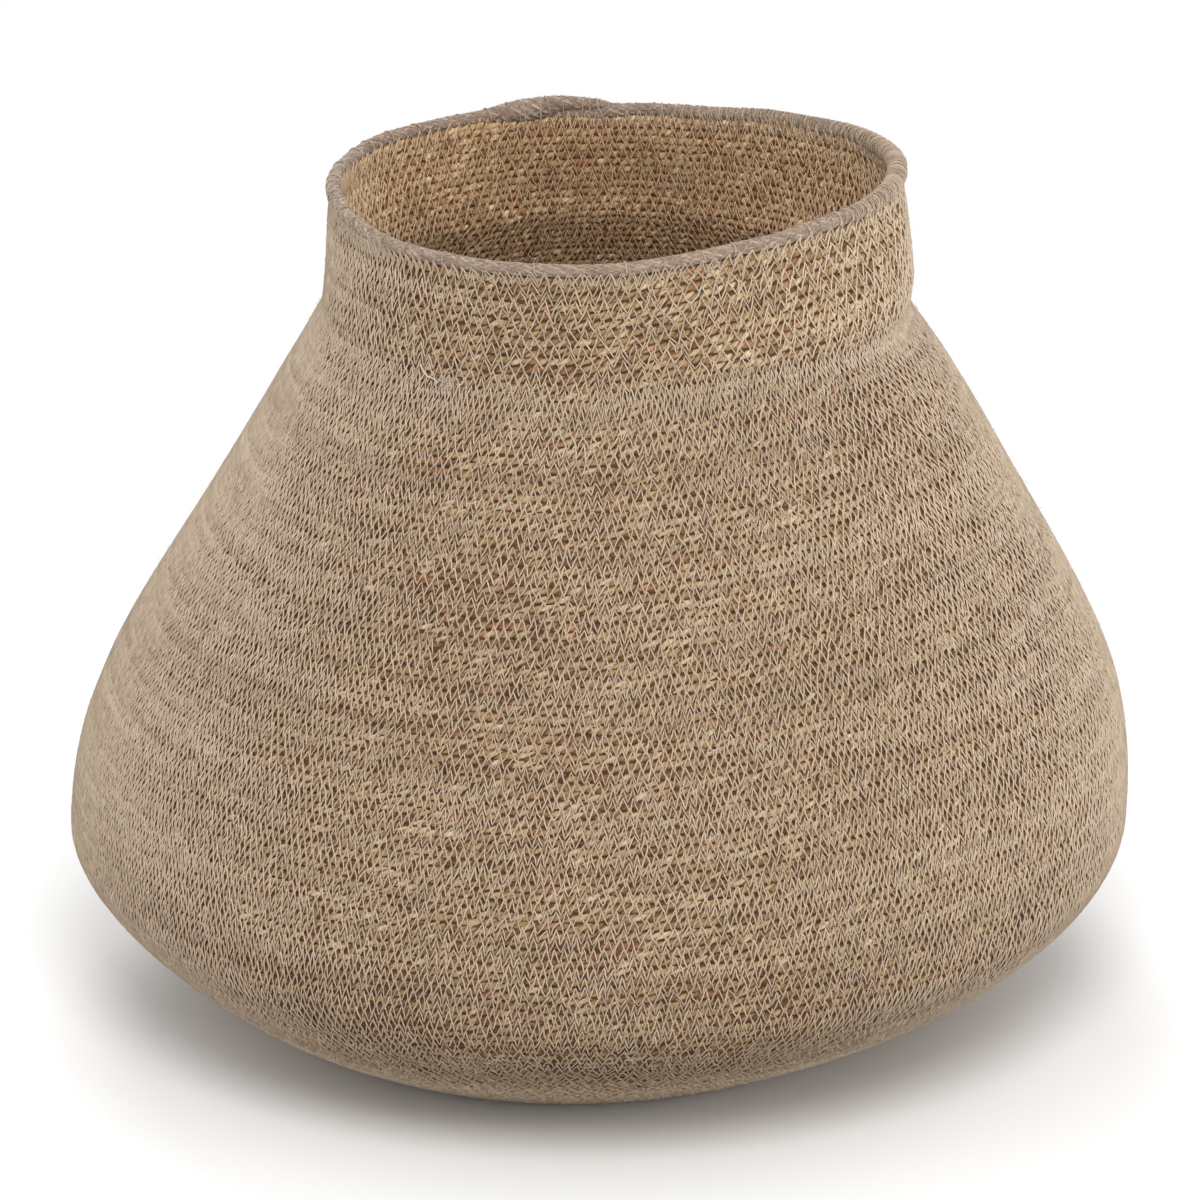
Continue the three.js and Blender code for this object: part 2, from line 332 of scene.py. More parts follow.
def frontness(phi):
    """1 on the front and 0 round the sides and back."""
    away = np.abs((phi + math.pi) % TURN - math.pi)
    return np.clip(1.4 - away / math.radians(42), 0, 1)


def on_collar(s):
    """0 below the crease and 1 from one row above it."""
    return np.clip((s - S_NECK) / PITCH, 0, 1)


def collar_painted_light(s, phi):
    """Painted light: 1 at the right of the collar and 0 on its left and below it."""
    return smooth(s, S_NECK, S_NECK + PITCH) * rightness(phi)


def shade_low(s):
    """Painted shade: 1 on the darkened lower wall, 0 from the belly up, and below 0 towards the
    foot, where it paints light.
    """
    past_foot = smooth(s, S_FOOT + LOW_SHADE_FROM, S_FOOT + LOW_SHADE_FULL)
    return 1.8 * past_foot - 0.8 - smooth(s, S_LOW_SHADE, S_LOW_SHADE + LOW_SHADE_FADE)


# ---- The one spiral that all rows and stitches follow

LAST_TURN = S_TOP / PITCH + TURNS_PAST_TOP
SPIRAL_PHI = np.arange(TURN * FIRST_ROW / PITCH, TURN * LAST_TURN, SPIRAL_STEP)
TOP_ROW = {1: S_TOP + 0.1 * PITCH, -1: S_TOP + 0.4 * PITCH}  # of the outer and inner face


def spiral_s(phi, face=1):
    """Wall length of the row's centre; a face's last turn runs level under the rim."""
    return np.minimum(PITCH * phi / TURN, TOP_ROW[face])


def over_rim(s):
    """How far the rim cord stands out from its middle at a wall length."""
    up = s - S_TOP - RIM_SEAT - RIM_RADIUS
    return np.sqrt(np.maximum(0, RIM_SKIN ** 2 - up ** 2))


SPIRAL_LENGTH = run_sum(
    np.interp(spiral_s(SPIRAL_PHI), LINE_S, LINE_R)[1:] * np.diff(SPIRAL_PHI)
)


def phi_at(length):
    """Azimuth, counted on from turn to turn, at a length of the row cord."""
    return np.interp(length, SPIRAL_LENGTH, SPIRAL_PHI)


def along_row(seed, step):
    """A random value that changes along the cord, and so differs from row to row."""
    dice = np.random.default_rng(seed)
    places = np.arange(0, SPIRAL_LENGTH[-1] + step, step)
    values = dice.normal(0, 1, len(places))
    return lambda length: np.interp(length, places, values)


row_tone = along_row(seed=5, step=34 * MM)
row_shade = along_row(seed=6, step=120 * MM)
row_speed = along_row(seed=9, step=45 * MM)


def length_between(s_low, s_high):
    """Cord lengths at which the spiral passes two wall lengths."""
    return np.interp([TURN * s_low / PITCH, TURN * s_high / PITCH], SPIRAL_PHI, SPIRAL_LENGTH)


# ---- Meshes

UV_MARGIN = 0.04
GROUND = (-1, -1, 0)  # the least x, y and z of a point


def link(name, data):
    made = bpy.data.objects.new(name, data)
    bpy.context.scene.collection.objects.link(made)
    return made


def pairs(first, second):
    """Every pair of two counts' numbers, as two flat arrays."""
    return (a.ravel() for a in np.meshgrid(range(first), range(second), indexing="ij"))


def atlas(groups, along, across):
    """UV corners that give each group of along x across quads its own cell."""
    side = math.ceil(math.sqrt(groups))
    cell = 1 / side
    g = np.arange(groups)
    corner = np.stack([g % side, g // side], 1) * cell + UV_MARGIN * cell
    i, j = pairs(along, across)
    u = np.stack([i, i + 1, i + 1, i], 1) / along
    v = np.stack([j, j, j + 1, j + 1], 1) / across
    inside = np.stack([u, v], -1) * (1 - 2 * UV_MARGIN) * cell
    return (corner[:, None, None, :] + inside[None]).reshape(-1, 4, 2)


def mesh_piece(name, points, quads, uv, values, material, nodes):
    """One rigid piece that stands for the named solids."""
    points = np.maximum(points, GROUND)
    mesh = bpy.data.meshes.new(name)
    mesh.vertices.add(len(points))
    mesh.vertices.foreach_set("co", points.astype(np.float32).ravel())
    mesh.loops.add(quads.size)
    mesh.loops.foreach_set("vertex_index", quads.astype(np.int32).ravel())
    mesh.polygons.add(len(quads))
    mesh.polygons.foreach_set("loop_start", np.arange(0, quads.size, 4, dtype=np.int32))
    mesh.update(calc_edges=True)
    mesh.shade_smooth()
    for key, value in values.items():
        kind = "FLOAT" if value.ndim == 1 else "FLOAT_VECTOR"
        layer = mesh.attributes.new(key, kind, "POINT")
        field = "value" if value.ndim == 1 else "vector"
        layer.data.foreach_set(field, value.astype(np.float32).ravel())
    layer = mesh.uv_layers.new(name="OFBake")
    layer.data.foreach_set("uv", uv.astype(np.float32).ravel())
    mesh.materials.append(material)
    piece = link(name, mesh)
    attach(piece, "root")
    if nodes:
        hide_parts(*nodes)


def grid_quads(groups, along, across):
    """Quads of groups of (along + 1) x (across + 1) points."""
    i, j = pairs(along, across)
    step = across + 1
    one = np.stack([i * step + j, (i + 1) * step + j, (i + 1) * step + j + 1, i * step + j + 1], 1)
    offset = np.arange(groups) * (along + 1) * step
    return (one[None] + offset[:, None, None]).reshape(-1, 4)


def tube_quads(rings, sides):
    """Quads of one open tube, with the rings' quads in order."""
    i, j = pairs(rings - 1, sides)
    k = (j + 1) % sides
    return np.stack([i * sides + j, (i + 1) * sides + j, (i + 1) * sides + k, i * sides + k], 1)


ROOF = np.radians([-35, 90, 215])  # an open section with two faces, for thin threads


def tube_points(centres, radii, sides, up=(0, 0, 1)):
    """Rings round a run of points (rings, 3), or round many runs (runs, rings, 3).

    sides is a number of sides or an array of angles, where a quarter turn is towards up.
    """
    along = np.gradient(centres, axis=-2)
    along /= np.linalg.norm(along, axis=-1, keepdims=True) + 1e-12
    side = np.cross(np.broadcast_to(np.asarray(up, float), along.shape), along)
    side /= np.linalg.norm(side, axis=-1, keepdims=True) + 1e-12
    lift = np.cross(along, side)
    turn = TURN * np.arange(sides) / sides if np.isscalar(sides) else sides
    ring = side[..., None, :] * np.cos(turn)[:, None] + lift[..., None, :] * np.sin(turn)[:, None]
    return centres[..., None, :] + ring * np.asarray(radii)[..., None, None]


# ---- Rows: a core under slanted grass wraps

def core_piece(name, s_low, s_high, nodes, slot="seagrass_rows"):
    """Six-sided core of the rows between two wall lengths, with grooves between the rows."""
    low, high = length_between(s_low, s_high)
    count = int((high - low) / CORE_STEP) + 2
    cord = np.linspace(low, high, count)
    phi = phi_at(cord)[:, None]
    half = CORE_HALF_WIDTH
    across = np.array([-half, 0, half, half, 0, -half])
    depth = np.array([GROOVE_DEPTH, CORE_DEPTH, GROOVE_DEPTH])
    inside = [0, 0, 0, 1, 1, 1]
    sides = len(inside)
    n = np.concatenate([depth, -depth])[None]
    points = place(spiral_s(phi) + across, phi, n).reshape(-1, 3)
    length = np.repeat(cord, sides)
    strand = np.stack([length, np.tile(np.arange(sides), count) * MM, 0 * length], 1)
    values = {"strand": strand, "tone": np.tile(inside, count)}
    quads = tube_quads(count, sides)
    uv = atlas(count - 1, 1, sides)
    mesh_piece(name, points, quads, uv, values, core_look, nodes)


def wraps_piece(name, s_low, s_high, face, nodes, slot="seagrass_rows", length=WRAP_LENGTH,
                cells=(4, 2)):
    """Slanted grass strips over the outer (face 1) or inner (face -1) side of the rows.

    cells are the quads up and across each strip, where up is from row to row.
    """
    up_cells, across_cells = cells
    low, high = length_between(s_low, s_high)
    count = int((high - low) / length)
    middle = low + (np.arange(count) + 0.5) * length + rng.normal(0, 0.12 * length, count)
    middle = np.clip(middle, low, high)[:, None, None]
    shape = (count, 1, 1)
    wide = length * rng.uniform(0.46, 0.64, shape)
    lean = (1 if face > 0 else INNER_LEAN) * length * rng.uniform(0.5, 0.9, shape)
    domed = rng.uniform(0.8, 1.2, shape)
    depth = CORD_HALF_DEPTH * rng.uniform(0.82, 1.12, shape)
    plump = CORD_HALF_WIDTH * rng.uniform(0.95, 1.12, shape)
    askew = rng.normal(0, 0.08 * PITCH, shape)
    i = np.linspace(-1, 1, up_cells + 1)[None, :, None]
    j = np.linspace(-1, 1, across_cells + 1)[None, None, :]
    turn = i * WRAP_ARC
    taper = 1 - 0.45 * i ** 4
    along = middle + lean * i + wide * taper * j
    lift = 1 - 0.40 * domed * j ** 2
    phi = phi_at(along)
    row = spiral_s(phi, face)
    s = row + askew + plump * np.sin(turn) * (0.58 + 0.42 * lift)
    n = depth * np.cos(turn * 0.94) * lift + 0.25 * np.maximum(0, row - TOP_ROW[1])
    points = place(s, phi, face * n).reshape(-1, 3)
    quads = grid_quads(count, up_cells, across_cells)
    if face > 0:
        quads = quads[:, ::-1]
    size = (count, up_cells + 1, across_cells + 1)
    cord = middle[:, 0, 0]
    centre_phi = phi_at(cord)
    centre_s = spiral_s(centre_phi)
    streak = 0.61 + 0.05 * band(centre_s, centre_phi) + 0.05 * patch(centre_s, centre_phi)
    streak = streak + 0.06 * row_tone(cord) + 0.06 * row_shade(cord)
    if face > 0:
        # Painted shade on the lower wall, painted light towards the foot and on the collar's
        # right.
        streak = streak - 0.3 * shade_low(centre_s) + 0.26 * collar_painted_light(centre_s, centre_phi)
        # Painted shade: the grass is darker round the sides and back than on the front.
        streak = streak - 0.1 * (1 - frontness(centre_phi))
    tone = np.clip(streak + rng.normal(0, 0.19, count), 0, 1.1)[:, None, None]
    tint = rng.uniform(0, 1, shape)
    each = np.arange(count)[:, None, None] * 0.37

    def spread(values):
        return np.broadcast_to(values, size).reshape(-1)

    values = {
        # Painted shade: each strip is darker towards its ends, in the grooves between the rows.
        "tone": spread(tone - 0.4 * np.abs(i) ** 3),
        "tint": spread(tint),
        "edge": spread(np.abs(j)),
        "strand": np.stack([spread(j * wide), spread(i * length), spread(each * MM)], -1),
    }
    uv = atlas(count, up_cells, across_cells)
    mesh_piece(name, points, quads, uv, values, grass_looks[face], nodes)


# ---- Zigzag thread

def stitch_step(s, phi, face):
    """Half a zigzag's width: open on the collar and low down, tight under the crease."""
    if face < 0:
        steps = INNER_STITCH
    else:
        side = SIDE_STITCH + RIGHT_STITCH_EXTRA * rightness(phi) ** 2
        steps = side + (FRONT_STITCH - side) * frontness(phi)
        steps = steps + (LOW_STITCH - steps) * np.clip((S_LOW_SHADE - s) / LOW_STITCH_FADE, 0, 1)
        collar = COLLAR_STITCH * (1 + 0.25 * np.sin(phi))
        steps = steps + (collar - steps) * on_collar(s)
        below = (S_NECK - s) / PITCH
        tight = np.clip((CREASE_ROWS - below) / 1.5, 0, 1) * np.clip((below - 0.5) * 3, 0, 1)
        steps = steps + (CREASE_STITCH - steps) * tight
    return steps * (1 + 0.08 * density(s, phi))


def stitch_reach(s, phi, face):
    """How far a stitch goes up and down from its row's centre."""
    if face < 0:
        return INNER_REACH
    side = SIDE_REACH + RIGHT_REACH_EXTRA * rightness(phi) ** 2
    reach = side + (FRONT_REACH - side) * frontness(phi)
    return reach + (COLLAR_REACH - reach) * on_collar(s)


def thread_piece(name, knot, knot_s, face, look, nodes, tone, thick,
                 share=(0.0, 0.14, 0.5, 0.86)):
    """One thread through knots at azimuths knot and wall lengths knot_s, over rows and rim.

    share says how far along each leg, from one knot to the next, its points lie.
    """
    share = np.array([share])
    count = len(knot)
    bend = rng.normal(0, 0.09, (count - 1, 1)) * (share * (1 - share) > 0.2)
    phi = knot[:-1, None] + np.diff(knot)[:, None] * (share + bend)
    s = knot_s[:-1, None] + np.diff(knot_s)[:, None] * share
    thick = np.broadcast_to(thick, count - 1)
    n = CORD_HALF_DEPTH + thick[:, None] * rng.uniform(0.5, 1.1, (count - 1, 1))
    n = n * np.where(share == 0, KNOT_DIP, 1.0) * np.where(bend != 0, BEND_DIP, 1.0)
    n = n * (1 - smooth(s, TOP_ROW[face] + 0.5 * PITCH, TOP_ROW[face] + 1.2 * PITCH))
    out = over_rim(s)
    n = np.maximum(n, np.where(out > 0, out * 1.04 + face * RIM_OUTWARD + 0.2 * MM, 0))
    centres = place(s, phi, face * n).reshape(-1, 3)
    rings, steps = len(centres), share.size
    radii = np.repeat(thick * rng.uniform(0.85, 1.15, count - 1), steps)
    up = face * (centres * [1, 1, 0])
    points = tube_points(centres, radii, ROOF, up).reshape(-1, 3)
    quads = grid_quads(1, rings - 1, 2)[: (count - 2) * 2 * steps]
    if face < 0:
        quads = quads[:, ::-1]
    uv = atlas(count - 2, steps, 2)
    tone = np.repeat(tone[:-1], len(ROOF) * steps)
    values = {"tone": tone, "strand": points * [1, 1, 1.7]}
    mesh_piece(name, points, quads, uv, values, look, nodes)


def stitch_piece(name, s_low, s_high, face, nodes, slot="seagrass_rows", coarse=1.0):
    """The zigzag thread over the rows between two wall lengths."""
    low, high = length_between(s_low, s_high)
    probe = np.linspace(low, high, PROBES)
    probe_phi = phi_at(probe)
    rate = 1 / (coarse * stitch_step(spiral_s(probe_phi), probe_phi, face))
    rate = rate * (1 + 0.12 * row_speed(probe))
    number = run_sum(0.5 * (rate[1:] + rate[:-1]) * np.diff(probe))
    count = int(number[-1])
    knot = np.interp(np.arange(count), number, probe)
    knot = knot + np.gradient(knot) * rng.normal(0, 0.16, count)
    phi = phi_at(knot)
    row = spiral_s(phi, face)
    sign = np.where(np.arange(count) % 2, 1.0, -1.0)
    knot_s = row + sign * stitch_reach(row, phi, face) * rng.uniform(0.88, 1.10, count)
    knot_s = knot_s + rng.normal(0, 0.05 * PITCH, count)
    if face > 0:
        knot_s = knot_s + 0.25 * PITCH * (row >= TOP_ROW[face])
    tone = 0.5 + 0.16 * row_shade(knot) + rng.normal(0, 0.22, count)
    if face > 0:
        # Painted shade on the lower wall, painted light towards the foot and on the thread round
        # the sides and back.
        tone = tone - 0.45 * shade_low(row) + 0.04 * (1 - frontness(phi))
        # Painted light on the collar's right.
        tone = tone + 0.3 * collar_painted_light(row, phi)
    tone = np.clip(tone, -0.3, 1.2)
    thick = THREAD_RADIUS if face > 0 else INNER_THREAD_RADIUS
    thick = thick * (0.86 + 0.14 * frontness(phi[:-1]))
    thread_piece(name, phi, knot_s, face, thread_looks[face], nodes, tone, thick)


def rim_cover():
    """Zigzag over the inner side of the rim cord, to its top at the back right."""
    count = int(math.radians(COVER_END - COVER_START) * MOUTH_RADIUS / COVER_STITCH)
    phi = np.linspace(math.radians(COVER_START), math.radians(COVER_END), count)
    phi = phi + rng.normal(0, 0.2, count) * np.gradient(phi)
    degrees = np.degrees(phi)
    tall = 2.2 + 3.3 * smooth(degrees, 65, 85) * (1 - smooth(degrees, 166, 178))
    high = (tall + rng.uniform(-0.9, 0.5, count)) * MM
    knot_s = S_TOP + np.where(np.arange(count) % 2, high, -0.6 * PITCH)
    thread_piece(
        "rim_cover", phi, knot_s, -1, rim_thread_look, [],
        rng.uniform(0, 1, count), COVER_THREAD_RADIUS, (0.0, 0.16, 0.4, 0.62, 0.84),
    )


# ---- Rim cord

def start_radius(run):
    """Cord radius at degrees from its start: thin under the lap, full size past it."""
    grown = smooth(run, 0, RIM_TIP_ANGLE)
    thinned = RIM_TIP_RADIUS + (RIM_LAP_RADIUS - RIM_TIP_RADIUS) * grown
    full = smooth(run, LAP_END - RIM_TIP_ANGLE, LAP_END + 1)
    return thinned + (RIM_RADIUS - thinned) * full


def rim_azimuth(run):
    return (LAP_START - run) % 360


def rim_run(step):
    """Degrees run along the rim cord, its centres, and its half sizes across and upwards.

    The cord starts LAP_START degrees from the front and lies on its own start past 360.
    """
    sweep = TIP_TUCK + 360 + LAP_END
    count = int(math.radians(sweep) * MOUTH_RADIUS / step)
    run = np.linspace(-TIP_TUCK, 360 + LAP_END, count)
    past = run - 360
    climbed = smooth(past, -LAP_CLIMB, 0)
    bottom = (2 * start_radius(np.maximum(past, 0)) - LAP_SINK) * climbed
    raised = climbed * (1 - smooth(past, 6, 20))
    top = 2 * RIM_RADIUS + (LAP_HEIGHT - 2 * RIM_RADIUS) * raised
    lapped = np.maximum((top - bottom) / 2, 0.8 * RIM_TIP_RADIUS)
    climbing = past > -LAP_CLIMB
    radius = np.where(climbing, lapped, start_radius(run))
    radius = radius * (1 + 0.8 * np.clip(run, -TIP_TUCK, 0) / TIP_TUCK)
    sunk = bottom * (1 - smooth(past, -2, 8))
    azimuth = rim_azimuth(run)
    knob = np.exp(-(((azimuth - KNOB_AZIMUTH) / KNOB_SPREAD) ** 2))
    doubled = np.where(climbing, smooth(past, -10, 2), 1 - smooth(run, LAP_END - 6, LAP_END + 1))
    end = smooth(past, LAP_END - 8, LAP_END)
    beside = np.sin(np.radians(azimuth)) ** 2
    fill = RIM_FILL + 0.08 * beside + 0.28 * doubled + 0.22 * knob
    wide = (radius * fill + 0.3 * MM * doubled) * (1 - 0.6 * end)
    tall = wide + sunk / 2
    lift = np.where(climbing, bottom, 0) + radius - sunk / 2 - 1.6 * MM * end
    centres = place(
        S_TOP + RIM_SEAT + lift, np.radians(LAP_START - run), RIM_OUTWARD - 0.3 * MM * knob,
    )
    return run, centres, wide, tall


def run_frame(centres):
    """Directions along the cord, out from the axis and up, at each of its centres."""
    along = unit(np.gradient(centres, axis=0))
    outward = unit(np.cross(along, [0, 0, 1]))
    outward *= np.sign((outward * centres * [1, 1, 0]).sum(1, keepdims=True))
    up = np.cross(outward, along)
    return along, outward, up * np.sign(up[:, 2:3])


def run_length(centres):
    return run_sum(np.linalg.norm(np.diff(centres, axis=0), axis=1))


def oval(centres, outward, up, wide, tall, turn):
    """Points at angles round an oval section of the cord."""
    points = centres + outward * (wide * np.cos(turn))[..., None]
    return points + up * (tall * np.sin(turn))[..., None]


def rim_braid():
    """Strands plaited both ways round the cord, passing over and under one another."""
    run, centres, wide, tall = rim_run(BRAID_STEP)
    _, outward, up = run_frame(centres)
    length = run_length(centres)
    turn = TURN * length / BRAID_PITCH
    rings, half = len(run), BRAID_STRANDS // 2
    points, quads, tones, strands = [], [], [], []

    def add(ring, sides, tone, spacing, mark):
        quads.append(tube_quads(rings, sides) + sum(len(part) for part in points))
        points.append(ring.reshape(-1, 3))
        tones.append(np.full(rings * sides, tone))
        around = np.tile(np.arange(sides), rings) * MM * spacing
        marks = np.full(rings * sides, mark * MM)
        strands.append(np.stack([np.repeat(length, sides), around, marks], 1))

    for k in range(BRAID_STRANDS):
        way = 1 if k < half else -1
        angle = way * turn + (k % half) * TURN / half
        share = 0.80 + 0.05 * way * np.cos(half * turn) + 0.02 * np.sin(length / (3.1 * MM) + k)
        path = oval(centres, outward, up, share * wide, share * tall, angle)
        swell = 1 + 0.12 * np.sin(length / (1.7 * MM) + 2.1 * k)
        ring = tube_points(path, 0.23 * wide * swell, STRAND_SIDES)
        add(ring, STRAND_SIDES, rng.uniform(0, 1), 0.6, k)
    turn = TURN * np.arange(BRAID_CORE_SIDES) / BRAID_CORE_SIDES
    core = oval(
        centres[:, None], outward[:, None], up[:, None], 0.95 * wide[:, None],
        0.95 * tall[:, None], turn,
    )
    add(core, BRAID_CORE_SIDES, 0.4, 1, 0)
    values = {"tone": np.concatenate(tones), "strand": np.concatenate(strands)}
    uv = np.concatenate([
        atlas(BRAID_STRANDS * (rings - 1), 1, STRAND_SIDES) * [0.5, 1],
        atlas(rings - 1, 1, BRAID_CORE_SIDES) * [0.5, 1] + [0.5, 0],
    ])
    mesh_piece(
        "rim_braid", np.concatenate(points), np.concatenate(quads), uv, values,
        rim_look, ["rim_cord"],
    )


def rim_loops(name, index, lean, centres, wide, tall, span):
    """Stitches over the cord at places along its centres, round a span of angles."""
    along, outward, up = run_frame(centres)
    every = np.arange(len(centres))
    rings, sides = 9, 4
    turn = np.radians(np.linspace(*span, rings))[None]
    count = len(index)
    at = index[:, None] + lean[:, None] * np.linspace(-1, 1, rings)[None]
    at = np.clip(at, 0, len(centres) - 1)

    def pick(values):
        return np.stack([np.interp(at, every, values[:, k]) for k in range(3)], -1)

    high = THREAD_RADIUS * rng.uniform(0.2, 0.9, (count, 1))
    side = np.interp(at, every, wide) * 1.07 + high
    rise = np.interp(at, every, tall) * 1.07 + high
    path = oval(pick(centres), pick(outward), pick(up), side, rise, turn)
    radii = THREAD_RADIUS * rng.uniform(0.7, 1.0, (count, 1)) * np.ones((1, rings))
    points = tube_points(path, radii, sides, pick(along)).reshape(-1, 3)
    first = np.arange(count) * rings * sides
    quads = (tube_quads(rings, sides)[None] + first[:, None, None]).reshape(-1, 4)
    tone = np.repeat(rng.uniform(0, 1, count), rings * sides)
    strand = np.stack([tone * 0, np.tile(np.arange(rings * sides), count) * MM, tone * MM], 1)
    uv = atlas(count, rings - 1, sides)
    values = {"tone": tone, "strand": strand}
    mesh_piece(name, points, quads, uv, values, rim_thread_look, [])


def rim_stitches():
    """Close round the right side, sparse elsewhere, and holding both cords at the lap."""
    run, centres, wide, tall = rim_run(STITCH_STEP)
    every = np.arange(len(run))
    length = run_length(centres)
    azimuth = rim_azimuth(run)
    close = smooth(azimuth, 36, 66) * (1 - smooth(azimuth, 160, 185))
    gap = (13.0 - 12.15 * close) * MM
    number = run_sum(np.diff(length) / gap[1:])
    count = int(number[-1])
    spots = np.arange(count) + rng.uniform(-0.35, 0.35, count)
    index = np.interp(spots, number, every)
    lean = rng.normal(0, 1.0, count) * MM / STITCH_STEP
    rim_loops("rim_stitches", index, lean, centres, wide, tall, (-48, 228))
    past = run - 360
    lapped = (past >= -2) & (past <= LAP_END - 3)
    first = np.interp(past[lapped], run, every)
    lower = np.stack([np.interp(first, every, centres[:, k]) for k in range(3)], 1)
    both = (centres[lapped] + lower) / 2
    reach = np.linalg.norm(centres[lapped] - lower, axis=1) / 2
    index = np.linspace(0, len(both) - 1, LAP_STITCHES) + rng.uniform(-12, 12, LAP_STITCHES)
    lean = rng.normal(0, 1.3, LAP_STITCHES) * MM / STITCH_STEP
    rim_loops("lap_stitches", index, lean, both, wide[lapped], wide[lapped] + reach, (-70, 250))


# ---- Loose fibres

def fibres(name, roots, out, length, radius, look, slot, lie, curl, along=None):
    """Short bent hairs from surface points; out are the surface's outward directions.

    lie is how flat the hairs lie, from 0 to 1, curl how much they bend, and along, where it
    is given, the direction that most of them follow.
    """
    count = len(roots)
    rings = 4
    wild = rng.normal(0, 1, (count, 3))
    if along is not None:
        wild = 0.45 * wild + along * rng.choice([-1.0, 1.0], (count, 1))
    flat = unit(wild - out * (wild * out).sum(1, keepdims=True))
    rise = rng.uniform(0.05, 1.0, (count, 1)) * (1 - lie)
    start = unit(flat * (1 - rise) + out * rise)
    bend = rng.normal(0, curl, (count, 3))
    bend -= out * np.minimum(0, (bend * out).sum(1, keepdims=True)) * 1.2
    t = np.linspace(0, 1, rings)[None, :, None]
    size = (length * rng.uniform(0.5, 1.4, count))[:, None, None]
    path = roots[:, None] + size * (start[:, None] * t + 0.5 * bend[:, None] * t ** 2)
    path[..., 2] = np.maximum(path[..., 2], BASE_LIFT)
    radii = radius * rng.uniform(0.6, 1.2, (count, 1)) * np.linspace(1, 0.35, rings)[None]
    points = tube_points(path, radii, ROOF, np.repeat(out[:, None], rings, 1)).reshape(-1, 3)
    quads = grid_quads(count, rings - 1, 2)
    tone = np.repeat(rng.uniform(0, 1, count), rings * len(ROOF))
    values = {"tone": tone, "strand": np.zeros((len(tone), 3))}
    uv = atlas(count, rings - 1, 2)
    mesh_piece(name, points, quads, uv, values, look, [])


def wall_roots(s, phi, depth):
    """Points at n = depth on the wall, and the outward directions there."""
    roots = place(s, phi, np.full(len(s), depth))
    return roots, unit(place(s, phi, np.full(len(s), depth + MM)) - roots)


def wall_fibres(count):
    """Hairs over the outer wall, thicker on the band under the crease."""
    spread = rng.uniform(S_FOOT - 10 * MM, S_TOP, count)
    crease = rng.random(count) < 0.16
    spread = np.where(crease, S_NECK - rng.uniform(-1, 16, count) * MM, spread)
    weight = np.interp(spread, LINE_S, LINE_R) / BELLY_RADIUS
    keep = crease | (rng.random(count) < weight)
    s = spread[keep]
    phi = rng.uniform(0, TURN, len(s))
    fibres(
        "wall_fibres", *wall_roots(s, phi, 1.9 * MM), length=3.2 * MM, radius=0.07 * MM,
        look=fibre_look, slot="seagrass_rows", lie=0.9, curl=0.4,
    )


def rim_fibres(count):
    """Fuzz lying mostly along the rim cord, thickest over the lap."""
    run, centres, wide, tall = rim_run(BRAID_STEP)
    along, outward, up = run_frame(centres)
    extra = (run < LAP_END + 6) | (run > 352)
    chance = np.where(extra, 3.0, 1.0)
    index = rng.choice(len(run), count, p=chance / chance.sum())
    turn = rng.uniform(math.radians(-60), math.radians(240), count)
    across = (outward[index], up[index])
    out = oval(0, *across, 1, 1, turn)
    roots = oval(centres[index], *across, wide[index] * 1.02, tall[index] * 1.02, turn)
    fibres(
        "rim_fibres", roots, out, length=1.6 * MM, radius=0.055 * MM, look=rim_fibre_look,
        slot="rim_jute", lie=0.97, curl=0.2, along=along[index],
    )


def loose_end():
    """A loose end of thread under the crease on the front left, with a tuft of fuzz."""
    t = np.linspace(0, 1, 12)
    s = S_NECK + (3.4 - 5.6 * t + 0.5 * np.sin(9 * t)) * MM
    phi = np.radians(-37.9 + 4.3 * t)
    path = place(s, phi, CORD_HALF_DEPTH + (0.5 + 1.3 * np.sin(math.pi * t)) * MM)
    radii = np.full(len(t), 0.9 * THREAD_RADIUS)
    points = tube_points(path, radii, STRAND_SIDES).reshape(-1, 3)
    quads = tube_quads(len(t), STRAND_SIDES)
    uv = atlas(1, len(t) - 1, STRAND_SIDES)
    values = {"tone": np.full(len(points), 1.0), "strand": points}
    mesh_piece("loose_thread", points, quads, uv, values, fibre_look, [])
    count = 90
    s = S_NECK + rng.normal(-1.6, 0.9, count) * MM
    phi = np.radians(rng.normal(-31.3, 0.9, count))
    fibres(
        "crease_tuft", *wall_roots(s, phi, 1.7 * MM), length=3.0 * MM, radius=0.08 * MM,
        look=fibre_look, slot="seagrass_rows", lie=0.7, curl=0.4,
    )


# ---- Materials

LIGHT_GAIN = 1.33  # how much brighter a surface looks in the studio light than its own colour
INSIDE_PAINTED_LIGHT = 1.66  # painted light: how much paler the inside is painted, since less light gets there
WHITE = (1, 1, 1, 1)


def srgb(red, green, blue):
    """A colour in 0 to 255, as seen on a screen, as linear RGBA."""
    def linear(c):
        c /= 255
        return c / 12.92 if c <= 0.04045 else ((c + 0.055) / 1.055) ** 2.4

    return (linear(red), linear(green), linear(blue), 1)


def own_colour_and_painted_light(red, green, blue, painted_light=1.0):
    """A surface's own colour from its colour in the studio light, made paler by the last argument,
    as painted light, where that is above 1.
    """
    lit = srgb(red, green, blue)
    return tuple(min(1, painted_light * channel / LIGHT_GAIN) for channel in lit[:3]) + (1,)


